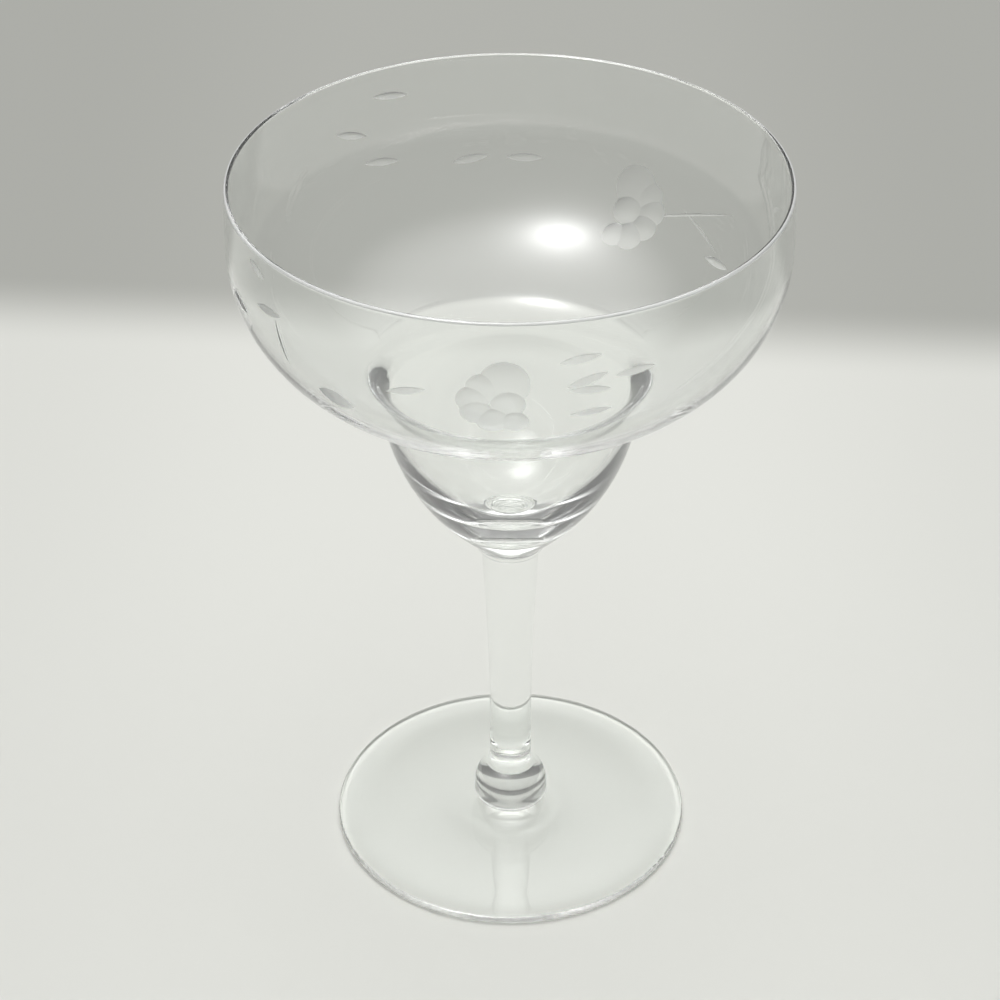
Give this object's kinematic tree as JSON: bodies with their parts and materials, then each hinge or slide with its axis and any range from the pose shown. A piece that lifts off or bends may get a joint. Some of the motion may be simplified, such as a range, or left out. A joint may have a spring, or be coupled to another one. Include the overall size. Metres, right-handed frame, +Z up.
{
  "type": "margarita glass",
  "caption": "Stemmed cocktail glass: a wide round bowl that steps in at a neck to a narrow cup, carried on a merese, a drawn stem, a knop and a flat round foot.",
  "frame": {"origin": "centre of the ring that the foot stands on", "axes": "+Z up along the axis of the glass, from the foot to the rim; X and Y alike, because every piece is turned about Z"},
  "size_m": [0.1148, 0.1148, 0.1652],
  "materials": {
    "clear_glass": "polished clear glass, with matt wheel-cut sprays on the bowl"
  },
  "bodies": {
    "root": {"bowl": "clear_glass", "merese": "clear_glass", "stem": "clear_glass", "knop": "clear_glass", "foot": "clear_glass"}
  },
  "joints": []
}
